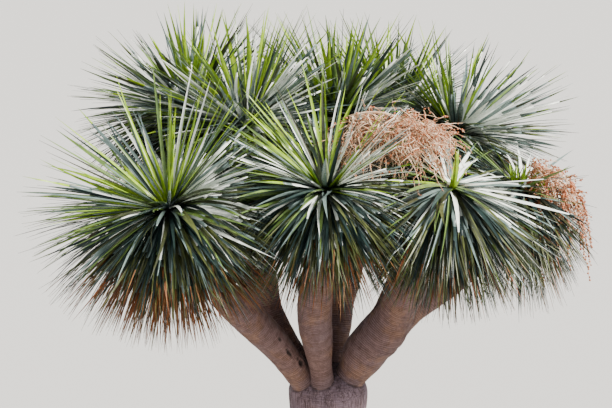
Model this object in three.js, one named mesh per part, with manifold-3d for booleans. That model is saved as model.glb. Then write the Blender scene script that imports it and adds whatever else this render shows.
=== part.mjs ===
// A whole dragon tree: a pale trunk, ringed boughs that swell from pinched feet, and a crown
// of sword-leaved rosettes with last year's fruit still on two of them.
// Millimetres, +Z up, -Y towards the viewer, origin at the middle of the cut at ground level.
import * as THREE from 'three';
import { mergeVertices } from 'three/addons/utils/BufferGeometryUtils.js';
import Module from 'manifold-3d';

const wasm = await Module();
wasm.setup();

// Gaps between neighbouring pieces.
const seatGap = 0.35;
const leafToLimbGap = 3;
const massToMassGap = 4;
const limbSliver = 0.1;
const leafSliver = 0.6;

// Trunk: a shaft that flares at its root, narrows upwards and widens again into the collar
// of the fork.
const trunk = {
  groundRadius: 262,
  shaftRadius: 166,
  taper: 24,
  collarRadius: 184,
  collarHeight: 1236,
  domeHeight: 122,
  flareReach: 150,
  collarReach: 210,
  buttresses: 5,
  buttressDepth: 0.09,
  lean: [-16, 10],
  sides: 20,
};

// Limbs: rings of flat facets along a bent axis.
const limbSides = 10;
const limbStations = 6;
const limbHandle = 0.36;

// Rosettes: a blunt head that carries sword leaves in golden-angle order.
const head = {
  length: 170,
  footRadius: 50,
  midRadius: 60,
  shoulderRadius: 48,
  apexRadius: 22,
  leavesFrom: 0.12,
  leavesRun: 0.72,
  sides: 8,
};
const leaf = {
  width: 58,
  rootWidth: 20,
  thickness: 8,
  kneeAt: 0.42,
  rootDepth: 24,
  sag: 0.42,
  youngest: 0.86,
  oldest: 0.86,
  lengthSpread: 0.07,
  turnSpread: 0.25,
  shortest: 0.4,
  shrinkStep: 0.88,
};
const goldenAngle = Math.PI * (3 - Math.sqrt(5));
const outwardLean = 0.42;
const crownRadius = 850;

// Fruit panicles: a stalk, side branches round it and twigs that end in a cluster of berries.
const panicle = {
  belowApex: 45,
  bareStalk: 0.45,
  stalkRadius: 9,
  branchRadius: 5,
  branchReach: [0.36, 0.46],
  twigRadius: 3.5,
  twigReach: [0.2, 0.34],
  twigSpread: 1.5,
  twigTaper: 0.6,
  clusterRadius: 13,
  clusterLength: 40,
  sides: 3,
};

const barkLook = { color: 0xa8937f, roughness: 0.9, metalness: 0 };
const leafLook = { color: 0x5d7a52, roughness: 0.5, metalness: 0 };
const fruitLook = { color: 0xb97a4e, roughness: 0.8, metalness: 0 };

// Where each rosette's apex lies, how long its leaves are, how far down the lowest one
// turns from the rosette's axis in degrees, and how many there are. Where the rosette has
// flowered and lost its upright leaves, the first one opens well away from the axis.
const rosettes = {
  rosette_left_front: { apex: [-687, -500, 2266], reach: 610, sweep: 142, leaves: 60 },
  rosette_centre_front: { apex: [-19, -450, 2335], reach: 570, sweep: 124, leaves: 56 },
  rosette_right_front: { apex: [513, -400, 2331], reach: 590, opens: 68, sweep: 138, leaves: 56 },
  rosette_mid_left: { apex: [-379, 120, 2478], reach: 600, sweep: 125, leaves: 50 },
  rosette_left_back: { apex: [-643, 380, 2500], reach: 560, sweep: 142, leaves: 54 },
  rosette_centre_back: { apex: [40, 330, 2470], reach: 580, sweep: 120, leaves: 48 },
  rosette_mid_right: { apex: [300, 560, 2430], reach: 570, sweep: 138, leaves: 52 },
  rosette_right_back: { apex: [600, 320, 2400], reach: 580, sweep: 138, leaves: 52 },
  rosette_right_outer: { apex: [866, -30, 2220], reach: 570, opens: 56, sweep: 142, leaves: 54 },
  rosette_back: { apex: [-210, 640, 2360], reach: 570, sweep: 142, leaves: 54 },
};

// Limbs in the order in which they are fitted. Each one starts inside the piece that
// carries it, sets out along a heading, and ends at a rosette or where it forks. Its bow
// pushes its middle aside. Its radii are those of its foot, its belly and its tip.
const limbs = {
  bough_left_front: {
    start: [-92, -52, 1280], heading: [-0.48, -0.3, 0.82], bow: [18, 0, 24],
    rosette: 'rosette_left_front', radii: [60, 76, 50], bellyAt: 0.5,
  },
  bough_centre_front: {
    start: [-28, -98, 1285], heading: [0, -0.2, 0.98], bow: [-42, 0, 0],
    rosette: 'rosette_centre_front', radii: [50, 78, 50], bellyAt: 0.48,
  },
  bough_right: {
    start: [72, -32, 1275], heading: [0.5, -0.16, 0.84], bow: [0, 0, 0],
    end: [246, -96, 1570], endHeading: [0.55, -0.15, 0.82], radii: [66, 86, 84], bellyAt: 0.7,
  },
  bough_left_back: {
    start: [-100, 62, 1285], heading: [-0.45, 0.22, 0.87], bow: [-24, 0, 0],
    end: [-322, 170, 1730], endHeading: [-0.3, 0.2, 0.92], radii: [54, 70, 64], bellyAt: 0.55,
  },
  bough_centre_back: {
    start: [10, 88, 1290], heading: [0.12, 0.3, 0.94], bow: [0, 0, 0],
    end: [62, 226, 1720], endHeading: [0.02, 0.3, 0.95], radii: [50, 72, 64], bellyAt: 0.6,
  },
  branch_right_front: {
    start: [262, -128, 1600], heading: [0.38, -0.3, 0.88], bow: [0, 0, 0],
    rosette: 'rosette_right_front', radii: [80, 82, 50], bellyAt: 0.3,
  },
  branch_right_outer: {
    start: [188, -76, 1500], heading: [0.62, -0.02, 0.78], bow: [8, 0, 16],
    rosette: 'rosette_right_outer', radii: [70, 78, 50], bellyAt: 0.4,
  },
  branch_right_back: {
    start: [262, -78, 1600], heading: [0.3, 0.48, 0.82], bow: [0, 0, 0],
    rosette: 'rosette_right_back', radii: [62, 68, 50], bellyAt: 0.4,
  },
  branch_mid_left: {
    start: [-326, 168, 1740], heading: [0.05, -0.12, 0.99], bow: [0, 0, 0],
    rosette: 'rosette_mid_left', radii: [58, 66, 50], bellyAt: 0.4,
  },
  branch_left_back: {
    start: [-346, 196, 1740], heading: [-0.52, 0.28, 0.8], bow: [0, 0, 0],
    rosette: 'rosette_left_back', radii: [58, 66, 50], bellyAt: 0.4,
  },
  branch_centre_back: {
    start: [58, 228, 1735], heading: [-0.04, 0.1, 0.99], bow: [0, 0, 0],
    rosette: 'rosette_centre_back', radii: [56, 64, 50], bellyAt: 0.4,
  },
  branch_mid_right: {
    start: [92, 244, 1735], heading: [0.38, 0.42, 0.82], bow: [0, 0, 0],
    rosette: 'rosette_mid_right', radii: [56, 64, 50], bellyAt: 0.4,
  },
  branch_back: {
    start: [62, 256, 1735], heading: [-0.42, 0.5, 0.76], bow: [0, 0, 0],
    rosette: 'rosette_back', radii: [54, 62, 50], bellyAt: 0.4,
  },
};

// Each panicle leaves the flank of a rosette's head and fills a space of its own.
const panicles = {
  fruit_panicle_centre: {
    rosette: 'rosette_right_front', centre: [320, -160, 2530], reach: 470, branches: 15, twigs: 3,
    droop: 0.1,
  },
  fruit_panicle_right: {
    rosette: 'rosette_right_outer', centre: [1040, -60, 2120], reach: 340, branches: 8, twigs: 2,
    droop: 0.6,
  },
};

const up = new THREE.Vector3(0, 0, 1);
const vector = (xyz) => new THREE.Vector3(...xyz);
const smoothStep = (t) => THREE.MathUtils.smoothstep(t, 0, 1);

// A repeatable stream of numbers from 0 to 1.
function seededNumbers(seed) {
  let state = seed;
  return () => {
    state = (state * 1664525 + 1013904223) % 4294967296;
    return state / 4294967296;
  };
}

// A closed surface as a solid: shared corners are merged and flattened faces dropped.
function solidFrom(geometry) {
  geometry.deleteAttribute('normal');
  geometry.deleteAttribute('uv');
  const merged = mergeVertices(geometry, 1e-4);
  const index = merged.index.array;
  const triangles = [];
  for (let i = 0; i < index.length; i += 3) {
    const [a, b, c] = index.slice(i, i + 3);
    if (a !== b && b !== c && c !== a) triangles.push(a, b, c);
  }
  const mesh = new wasm.Mesh({
    numProp: 3,
    vertProperties: new Float32Array(merged.attributes.position.array),
    triVerts: new Uint32Array(triangles),
  });
  return new wasm.Manifold(mesh);
}

// The largest single body of a solid, with any sealed hollow filled, scraps dropped and
// slivers along the joins smoothed away.
function mainBody(solid, sliver) {
  const bodies = solid.simplify(sliver).decompose();
  return bodies.reduce((best, body) => (body.volume() > best.volume() ? body : best));
}

function meshFrom(name, solid, look) {
  const { numProp, vertProperties, triVerts } = solid.getMesh();
  const geometry = new THREE.BufferGeometry();
  const corners = new THREE.InterleavedBuffer(vertProperties, numProp);
  geometry.setAttribute('position', new THREE.InterleavedBufferAttribute(corners, 3, 0));
  geometry.setIndex(new THREE.BufferAttribute(triVerts, 1));
  geometry.computeVertexNormals();
  const mesh = new THREE.Mesh(geometry, new THREE.MeshStandardMaterial(look));
  mesh.name = name;
  return mesh;
}

// Radius of the trunk at a height: shaft, root flare that dies away upwards, collar.
function trunkRadius(height) {
  const shaft = trunk.shaftRadius + trunk.taper * (1 - height / trunk.collarHeight);
  const foot = trunk.groundRadius - trunk.shaftRadius - trunk.taper;
  const flare = foot * Math.exp(-height / trunk.flareReach);
  const rise = smoothStep((height - trunk.collarHeight + trunk.collarReach) / trunk.collarReach);
  return shaft + flare + (trunk.collarRadius - trunk.shaftRadius) * rise;
}

// Profile of a rounded end: full radius at its foot, closed on the axis at its top.
function roundEnd(radius, foot, height) {
  const steps = 4;
  const profile = [];
  for (let step = 0; step < steps; step += 1) {
    const angle = (step / steps) * (Math.PI / 2);
    profile.push(new THREE.Vector2(radius * Math.cos(angle), foot + height * Math.sin(angle)));
  }
  profile.push(new THREE.Vector2(0, foot + height));
  return profile;
}

// The trunk is turned from its profile, then fluted at the root and leaned.
function trunkSolid(grow) {
  const profile = [new THREE.Vector2(0, 0)];
  const shaftHeights = [0, 40, 90, 160, 260, 400, 600, 830, 1030, 1100, 1170];
  shaftHeights.forEach((z) => profile.push(new THREE.Vector2(trunkRadius(z) + grow, z)));
  profile.push(...roundEnd(trunk.collarRadius + grow, trunk.collarHeight, trunk.domeHeight + grow));
  const geometry = new THREE.LatheGeometry(profile, trunk.sides);
  geometry.rotateX(Math.PI / 2);
  const place = geometry.attributes.position;
  for (let i = 0; i < place.count; i += 1) {
    const [x, y, z] = [place.getX(i), place.getY(i), place.getZ(i)];
    const fade = Math.exp(-z / trunk.flareReach);
    const flute = 1 + trunk.buttressDepth * fade * Math.cos(trunk.buttresses * Math.atan2(y, x));
    const lean = 1 - smoothStep(z / trunk.collarHeight);
    place.setXYZ(i, x * flute + trunk.lean[0] * lean, y * flute + trunk.lean[1] * lean, z);
  }
  return solidFrom(geometry);
}

// Axis of a rosette: upright at the middle of the crown and leaning out towards its rim.
function rosetteAxis(name) {
  const apex = vector(rosettes[name].apex);
  const lean = outwardLean / crownRadius;
  return new THREE.Vector3(apex.x * lean, apex.y * lean, 1).normalize();
}

function rosetteFoot(name) {
  return vector(rosettes[name].apex).addScaledVector(rosetteAxis(name), -head.length);
}

// A bent line whose middle is pushed aside, while its ends keep their places and headings.
class BowedCurve extends THREE.CubicBezierCurve3 {
  getPoint(t, target = new THREE.Vector3()) {
    return super.getPoint(t, target).addScaledVector(this.bow, 16 * (t * (1 - t)) ** 2);
  }
}

// Centre line of a limb: one bend between its heading and the direction at its tip.
function limbCurve(limb) {
  const start = vector(limb.start);
  const end = limb.rosette ? rosetteFoot(limb.rosette) : vector(limb.end);
  const endHeading = limb.rosette ? rosetteAxis(limb.rosette) : vector(limb.endHeading);
  const handle = start.distanceTo(end) * limbHandle;
  const leaving = start.clone().addScaledVector(vector(limb.heading).normalize(), handle);
  const arriving = end.clone().addScaledVector(endHeading.normalize(), -handle);
  const curve = new BowedCurve(start, leaving, arriving, end);
  curve.bow = vector(limb.bow);
  return curve;
}

// Radius along a limb: pinched foot, swollen belly, slimmer tip.
function limbRadius(limb, t) {
  const [foot, belly, tip] = limb.radii;
  if (t < limb.bellyAt) return THREE.MathUtils.lerp(foot, belly, smoothStep(t / limb.bellyAt));
  return THREE.MathUtils.lerp(belly, tip, smoothStep((t - limb.bellyAt) / (1 - limb.bellyAt)));
}

// A turned shape whose height runs from 0 to 1 is bent along a curve.
function bendAlong(geometry, curve) {
  const steps = 200;
  const frames = curve.computeFrenetFrames(steps, false);
  const place = geometry.attributes.position;
  for (let i = 0; i < place.count; i += 1) {
    const t = place.getY(i);
    const inside = THREE.MathUtils.clamp(t, 0, 1);
    const k = Math.round(inside * steps);
    const point = curve.getPointAt(inside);
    point.addScaledVector(frames.tangents[k], (t - inside) * curve.getLength());
    point.addScaledVector(frames.normals[k], place.getX(i));
    point.addScaledVector(frames.binormals[k], -place.getZ(i));
    place.setXYZ(i, point.x, point.y, point.z);
  }
  return geometry;
}

// A limb that ends at a rosette is cut square there, and one that forks ends round.
function limbSolid(limb, grow) {
  const curve = limbCurve(limb);
  const tip = limb.radii[2] + grow;
  const unit = 1 / curve.getLength();
  const profile = [new THREE.Vector2(0, -grow * unit)];
  for (let step = 0; step < limbStations; step += 1) {
    const t = step / limbStations;
    profile.push(new THREE.Vector2(limbRadius(limb, t) + grow, t - (step ? 0 : grow * unit)));
  }
  if (limb.rosette) {
    profile.push(new THREE.Vector2(tip, 1 + grow * unit), new THREE.Vector2(0, 1 + grow * unit));
  } else {
    profile.push(...roundEnd(tip, 1, tip * unit));
  }
  return solidFrom(bendAlong(new THREE.LatheGeometry(profile, limbSides), curve));
}

// Limbs are fitted one after another: each is cut clear of all that stand before it.
function fitLimbs() {
  const fitted = { trunk: trunkSolid(0) };
  let taken = trunkSolid(seatGap);
  for (const [name, limb] of Object.entries(limbs)) {
    fitted[name] = mainBody(limbSolid(limb, 0).subtract(taken), limbSliver);
    taken = taken.add(limbSolid(limb, seatGap));
  }
  return fitted;
}

// A rosette's head: a blunt, slightly swollen stem end, seated clear of its limb's tip.
function headSolid(name, grow) {
  const rise = (seatGap - grow) / head.length;
  const top = 1 + grow / head.length;
  const profile = [
    [0, rise], [head.footRadius, rise], [head.midRadius, 0.45],
    [head.shoulderRadius, 0.8], [head.apexRadius, top], [0, top],
  ];
  const outline = profile.map(([radius, t]) => new THREE.Vector2(radius ? radius + grow : 0, t));
  const line = new THREE.LineCurve3(rosetteFoot(name), vector(rosettes[name].apex));
  return solidFrom(bendAlong(new THREE.LatheGeometry(outline, head.sides), line));
}

// Planes that part each mass from its neighbours, nearer to the mass that reaches less.
function spaceOf(name) {
  const sites = { ...panicles };
  Object.entries(rosettes).forEach(([key, rosette]) => {
    sites[key] = { centre: rosette.apex, reach: rosette.reach };
  });
  const own = sites[name];
  return Object.keys(sites).filter((key) => key !== name).map((key) => {
    const away = vector(sites[key].centre).sub(vector(own.centre));
    const share = own.reach / (own.reach + sites[key].reach);
    const distance = away.length() * share - massToMassGap / 2;
    const normal = away.normalize();
    return new THREE.Plane(normal, -normal.dot(vector(own.centre)) - distance);
  });
}

const insideSpace = (points, space) => (
  points.every((point) => space.every((plane) => plane.distanceToPoint(point) < 0))
);

// Leaf length as a share of the rosette's reach: full but for the youngest and the oldest.
function leafSize(age) {
  const young = THREE.MathUtils.lerp(leaf.youngest, 1, smoothStep(age * 7));
  return young * THREE.MathUtils.lerp(1, leaf.oldest, smoothStep(age * 2 - 1));
}

// Root, knee and tip of a leaf. Old leaves stand lower on the head and bend more.
function leafRib(name, age, turn, size) {
  const rosette = rosettes[name];
  const axis = rosetteAxis(name);
  const side = new THREE.Vector3(1, 0, 0).projectOnPlane(axis).normalize();
  const front = new THREE.Vector3().crossVectors(axis, side);
  const around = side.multiplyScalar(Math.cos(turn)).addScaledVector(front, Math.sin(turn));
  const [highest, lowest] = [rosette.opens ?? 0, rosette.sweep].map(THREE.MathUtils.degToRad);
  const tilt = Math.acos(THREE.MathUtils.lerp(Math.cos(highest), Math.cos(lowest), age));
  const heading = around.clone().multiplyScalar(Math.sin(tilt));
  heading.addScaledVector(axis, Math.cos(tilt));
  const depth = head.length * (head.leavesFrom + head.leavesRun * age);
  const seat = vector(rosette.apex).addScaledVector(axis, -depth);
  const root = seat.addScaledVector(around, head.midRadius - leaf.rootDepth);
  const length = rosette.reach * size;
  const knee = root.clone().addScaledVector(heading, length * leaf.kneeAt);
  const sag = leaf.sag * smoothStep(age * 1.4) * Math.sin(tilt);
  const drooping = heading.clone().addScaledVector(up, -sag).normalize();
  const tip = knee.clone().addScaledVector(drooping, length * (1 - leaf.kneeAt));
  const edge = new THREE.Vector3().crossVectors(axis, around).normalize();
  return { root, knee, tip, edge, heading };
}

// A sword leaf: keeled underneath, narrow where it leaves the head, broadest at its knee and
// pointed.
function leafPoints({ root, knee, tip, edge, heading }) {
  const below = new THREE.Vector3().crossVectors(edge, heading).normalize();
  const section = (centre, width) => [
    centre.clone().addScaledVector(edge, width / 2),
    centre.clone().addScaledVector(edge, -width / 2),
    centre.clone().addScaledVector(below, leaf.thickness),
  ];
  return [...section(root, leaf.rootWidth), ...section(knee, leaf.width), tip];
}

function leafSolid(points) {
  const geometry = new THREE.BufferGeometry().setFromPoints(points);
  geometry.setIndex([
    0, 2, 1, 0, 1, 4, 0, 4, 3, 1, 2, 5, 1, 5, 4, 2, 0, 3, 2, 3, 5, 3, 4, 6, 4, 5, 6, 5, 3, 6,
  ]);
  return solidFrom(geometry);
}

// Leaves from the youngest at the apex to the oldest at the foot. A leaf that would leave
// the rosette's space is drawn shorter, and skipped if that isn't enough.
function rosetteSolid(name, obstacles) {
  const space = spaceOf(name);
  const numbers = seededNumbers(Object.keys(rosettes).indexOf(name) + 11);
  let mass = headSolid(name, 0);
  const { leaves } = rosettes[name];
  for (let i = 0; i < leaves; i += 1) {
    const age = (i + 0.5) / leaves;
    const turn = i * goldenAngle + (numbers() - 0.5) * leaf.turnSpread;
    let size = leafSize(age) * (1 - leaf.lengthSpread * numbers());
    let points = leafPoints(leafRib(name, age, turn, size));
    while (size > leaf.shortest && !insideSpace(points, space)) {
      size *= leaf.shrinkStep;
      points = leafPoints(leafRib(name, age, turn, size));
    }
    if (!insideSpace(points, space)) continue;
    const blade = leafSolid(points);
    if (blade.intersect(obstacles).volume() > 0) continue;
    mass = mass.add(blade);
  }
  return mainBody(mass, leafSliver);
}

// A three-sided twig that narrows to its end. One that bears fruit swells there instead.
function twigSolid(from, to, radius, grow, fruiting) {
  const line = new THREE.LineCurve3(from, to);
  const clusterFoot = 1 - panicle.clusterLength / line.getLength();
  const ending = fruiting
    ? [[radius * panicle.twigTaper, clusterFoot], [panicle.clusterRadius, (clusterFoot + 1) / 2]]
    : [[radius * panicle.twigTaper, 1]];
  const outline = [[0, 0], [radius, 0], ...ending, [0, 1]];
  const profile = outline.map(([r, t]) => new THREE.Vector2(r ? r + grow : 0, t));
  return solidFrom(bendAlong(new THREE.LatheGeometry(profile, panicle.sides), line));
}

// Branch headings are spread evenly over a ball by the golden angle, then bent down.
function branchHeading(i, plan) {
  const height = 1 - (2 * (i + 0.5)) / plan.branches;
  const ring = Math.sqrt(1 - height * height);
  const turn = i * goldenAngle;
  const heading = new THREE.Vector3(ring * Math.cos(turn), ring * Math.sin(turn), height);
  return heading.addScaledVector(up, -plan.droop).normalize();
}

// A panicle's stalk runs from just below its rosette's apex to the middle of its space. Its
// branches leave the stalk in golden-angle order, and its twigs fan from them. The stalk is
// cut clear of the rosette's head, so that it stands on the head's flank.
function panicleSolid(name, grow) {
  const plan = panicles[name];
  const numbers = seededNumbers(Object.keys(panicles).indexOf(name) + 71);
  const space = spaceOf(name);
  const length = ([low, high]) => plan.reach * THREE.MathUtils.lerp(low, high, numbers());
  const centre = vector(plan.centre);
  const foot = vector(rosettes[plan.rosette].apex);
  foot.addScaledVector(rosetteAxis(plan.rosette), -panicle.belowApex);
  let mass = twigSolid(foot, centre, panicle.stalkRadius, grow, false);
  for (let i = 0; i < plan.branches; i += 1) {
    const along = panicle.bareStalk + ((1 - panicle.bareStalk) * i) / (plan.branches - 1);
    const start = foot.clone().lerp(centre, along);
    const aim = branchHeading(i, plan);
    const end = start.clone().addScaledVector(aim, length(panicle.branchReach));
    if (!insideSpace([end], space)) continue;
    mass = mass.add(twigSolid(start, end, panicle.branchRadius, grow, false));
    for (let k = 0; k < plan.twigs; k += 1) {
      const fan = new THREE.Vector3(numbers() - 0.5, numbers() - 0.5, numbers() - 0.5);
      fan.multiplyScalar(panicle.twigSpread).add(aim).addScaledVector(up, -plan.droop / 2);
      const tip = end.clone().addScaledVector(fan.normalize(), length(panicle.twigReach));
      const tipEdge = tip.clone().addScaledVector(fan, panicle.clusterRadius);
      if (!insideSpace([tipEdge], space)) continue;
      mass = mass.add(twigSolid(end, tip, panicle.twigRadius, grow, true));
    }
  }
  mass = mass.subtract(headSolid(plan.rosette, seatGap));
  return grow ? mass : mainBody(mass, limbSliver);
}

// What leaves must keep clear of: the trunk, every limb and both panicles.
function leafObstacles() {
  const solids = [trunkSolid(leafToLimbGap)];
  Object.values(limbs).forEach((limb) => solids.push(limbSolid(limb, leafToLimbGap)));
  Object.keys(panicles).forEach((name) => solids.push(panicleSolid(name, leafToLimbGap)));
  return solids.reduce((sum, solid) => sum.add(solid));
}

function buildTree() {
  const tree = new THREE.Group();
  const obstacles = leafObstacles();
  Object.entries(fitLimbs()).forEach(([name, solid]) => {
    tree.add(meshFrom(name, solid, barkLook));
  });
  Object.keys(rosettes).forEach((name) => {
    tree.add(meshFrom(name, rosetteSolid(name, obstacles), leafLook));
  });
  Object.keys(panicles).forEach((name) => {
    tree.add(meshFrom(name, panicleSolid(name, 0), fruitLook));
  });
  return tree;
}

const tree = buildTree();

export default tree;
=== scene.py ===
# A whole dragon tree: ringed bark, sword leaves and last year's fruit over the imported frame.
# Metres, +Z up, -Y towards the viewer, origin at the middle of the cut at ground level.
import math
import bpy
import numpy as np
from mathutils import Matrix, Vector


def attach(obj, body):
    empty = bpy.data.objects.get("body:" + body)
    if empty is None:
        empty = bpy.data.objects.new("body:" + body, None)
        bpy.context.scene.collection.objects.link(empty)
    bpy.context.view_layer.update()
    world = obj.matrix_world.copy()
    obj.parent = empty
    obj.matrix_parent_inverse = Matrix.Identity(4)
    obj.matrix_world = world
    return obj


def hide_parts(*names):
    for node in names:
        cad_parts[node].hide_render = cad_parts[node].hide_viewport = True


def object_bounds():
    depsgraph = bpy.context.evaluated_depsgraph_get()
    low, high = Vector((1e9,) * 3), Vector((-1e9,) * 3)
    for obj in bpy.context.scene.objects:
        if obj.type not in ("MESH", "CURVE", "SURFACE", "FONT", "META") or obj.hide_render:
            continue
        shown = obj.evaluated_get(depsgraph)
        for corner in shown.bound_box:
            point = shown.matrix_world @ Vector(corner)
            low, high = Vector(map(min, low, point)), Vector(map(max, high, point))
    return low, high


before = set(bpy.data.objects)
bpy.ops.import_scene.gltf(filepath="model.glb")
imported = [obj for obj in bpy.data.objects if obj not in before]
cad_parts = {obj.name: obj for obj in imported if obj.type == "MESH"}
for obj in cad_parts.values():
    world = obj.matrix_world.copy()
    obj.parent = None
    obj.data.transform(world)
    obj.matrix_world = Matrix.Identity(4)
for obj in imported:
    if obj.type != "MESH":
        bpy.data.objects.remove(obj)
cadLow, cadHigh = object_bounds()
print("frame loaded:", len(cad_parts), "nodes")

upward = np.array([0.0, 0.0, 1.0])
goldenAngle = math.pi * (3 - math.sqrt(5))


def smoothStep(t):
    # 3 t^2 - 2 t^3, with t held between 0 and 1
    t = np.clip(t, 0, 1)
    return t * t * (3 - 2 * t)


def unit(v):
    # each vector divided by its own length
    return np.asarray(v) / np.linalg.norm(v, axis=-1, keepdims=True)


def turned(first, second, angle):
    # first cos(angle) + second sin(angle)
    return first * np.cos(angle) + second * np.sin(angle)


def spokes(axis, turn):
    # directions square to an axis, turned from the one that lies nearest to +X
    side = unit([1.0, 0, 0] - axis * axis[0])
    return turned(side, np.cross(axis, side), turn)


def wholeTurn(columns):
    return np.linspace(0, 2 * math.pi, columns, endpoint=False)


def bentLine(root, knee, tip, t):
    # (1-t)^2 root + 2 t (1-t) knee + t^2 tip for each leaf
    return (1 - t) ** 2 * root[:, None] + 2 * t * (1 - t) * knee[:, None] + t ** 2 * tip[:, None]


def latticeNoise(points, size, seed):
    # a hashed number at each corner of a lattice of this size, blended by smoothStep, -1 to 1
    place = np.asarray(points) / size
    cell = np.floor(place).astype(np.int64)
    inside = smoothStep(place - cell)
    total = np.zeros(place.shape[:-1])
    for corner in range(8):
        step = np.array([(corner >> k) & 1 for k in range(3)])
        c = cell + step
        h = c[..., 0] * 374761393 + c[..., 1] * 668265263 + c[..., 2] * 1103515245 + seed * 97531
        h = ((h & 0xFFFFFFFF) ^ ((h & 0xFFFFFFFF) >> 13)) * 1274126177 & 0xFFFFFFFF
        h = (h ^ (h >> 16)) / 4294967295.0
        total += np.prod(np.where(step == 1, inside, 1 - inside), axis=-1) * h
    return total * 2 - 1


def tubeFaces(rows, columns):
    # four-sided faces between neighbouring rings, wound to face outwards
    row = np.arange(rows - 1)[:, None] * columns
    here = np.arange(columns)[None, :]
    beside = (here + 1) % columns
    corners = [row + here, row + beside, row + columns + beside, row + columns + here]
    return np.stack(corners, -1).reshape(-1, 4)


def closedTube(rings):
    # a tube through the rings, with a fan of triangles round a point at either end
    rows, columns = rings.shape[:2]
    vertices = np.concatenate([rings.reshape(-1, 3), rings[[0, -1]].mean(axis=1)])
    here = np.arange(columns)
    beside = (here + 1) % columns
    foot = np.stack([beside, here, np.full(columns, rows * columns)], -1)
    top = np.stack([here, beside, np.full(columns, rows * columns + 1)], -1)
    top[:, :2] += (rows - 1) * columns
    return vertices, tubeFaces(rows, columns), np.concatenate([foot, top])


def joined(shapes):
    # several (vertices, quads, triangles) as one
    bases = np.cumsum([0] + [len(vertices) for vertices, _, _ in shapes])
    quads = np.concatenate([quads + base for (_, quads, _), base in zip(shapes, bases)])
    triangles = np.concatenate([triangles + base for (_, _, triangles), base in zip(shapes, bases)])
    return np.concatenate([vertices for vertices, _, _ in shapes]), quads, triangles


def addToScene(name, data):
    thing = bpy.data.objects.new(name, data)
    bpy.context.scene.collection.objects.link(thing)
    return thing


def addPiece(name, shape, material, nodes, values=None):
    # a mesh, smooth all over, that stands for the given nodes
    vertices, quads, triangles = shape
    mesh = bpy.data.meshes.new(name)
    mesh.from_pydata(vertices, [], quads.tolist() + triangles.tolist(), shade_flat=False)
    for key, numbers in (values or {}).items():
        layer = mesh.attributes.new(key, "FLOAT", "POINT")
        layer.data.foreach_set("value", numbers.astype(np.float32))
    mesh.materials.append(material)
    piece = addToScene(name, mesh)
    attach(piece, "root")
    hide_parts(*nodes)
    return piece


def newMaterial(name):
    material = bpy.data.materials.new(name)
    material.use_nodes = True
    return material, material.node_tree, material.node_tree.nodes["Principled BSDF"]


def setAll(thing, settings):
    for key, value in settings.items():
        setattr(thing, key, value)


def setInputs(node, inputs):
    # each input takes a value or another node's output
    for key, value in inputs.items():
        if isinstance(value, bpy.types.NodeSocket):
            node.id_data.links.new(value, node.inputs[key])
        else:
            node.inputs[key].default_value = value


def addNode(tree, kind, inputs=None, **settings):
    node = tree.nodes.new("ShaderNode" + kind)
    setAll(node, settings)
    setInputs(node, inputs or {})
    return node.outputs


def attributeOutput(tree, name):
    return addNode(tree, "Attribute", attribute_name=name)["Fac"]


def noiseOutput(place, grain):
    inputs = dict(zip(("Vector", "Scale", "Detail", "Roughness"), (place, *grains[grain])))
    return addNode(place.id_data, "TexNoise", inputs)["Fac"]


def remap(value, low, high, newLow=0.0, newHigh=1.0):
    inputs = dict(enumerate((value, low, high, newLow, newHigh)))
    return addNode(value.id_data, "MapRange", inputs, interpolation_type="SMOOTHSTEP")[0]


def maths(operation, *values):
    return addNode(values[0].id_data, "Math", dict(enumerate(values)), operation=operation)[0]


def multiply(a, b):
    return maths("MULTIPLY", a, b)


def fromMiddle(value):
    # how far a value between 0 and 1 lies from 0.5
    return maths("ABSOLUTE", maths("SUBTRACT", value, 0.5))


def mixColor(tree, share, a, b):
    return addNode(tree, "Mix", {0: share, 6: a, 7: b}, data_type="RGBA")[2]


def raised(height, strength, depth):
    # the surface's direction where it follows a height
    inputs = {"Strength": strength, "Distance": depth, "Height": height}
    return addNode(height.id_data, "Bump", inputs)[0]


# Scale, detail and roughness of each grain in the finishes.
grains = {
    "broad": (3.2, 2.0, 0.55),
    "patch": (8.5, 4.0, 0.60),
    "mottle": (38.0, 5.0, 0.62),
    "fleck": (260.0, 2.0, 0.55),
    "fade": (24.0, 3.0, 0.55),
    "streak": (62.0, 3.0, 0.60),
    "leafPatch": (34.0, 3.0, 0.55),
    "leafGrain": (420.0, 2.0, 0.55),
}
barkFinish = {
    "grey": (0.116, 0.078, 0.084, 1),
    "tan": (0.160, 0.083, 0.060, 1),
    # lilac: a tint of painted sky light over the bark
    "skyLitLilac": (0.185, 0.132, 0.172, 1),
    "ochre": (0.260, 0.125, 0.050, 1),
    "ring": (0.060, 0.027, 0.019, 1),
    "dark": (0.040, 0.022, 0.019, 1),
    # colour of the scars, also used for the painted shade in the creases at the joins
    "scarAndCreaseShade": (0.02, 0.012, 0.01, 1),
    "fleck": (0.50, 0.42, 0.37, 1),
    "bandShade": 0.45,
    "mottleShade": 0.42,
    "fleckShade": 0.25,
    "streakRun": 0.07,
    "bump": 0.8,
    "bumpDepth": 0.0026,
}


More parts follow.
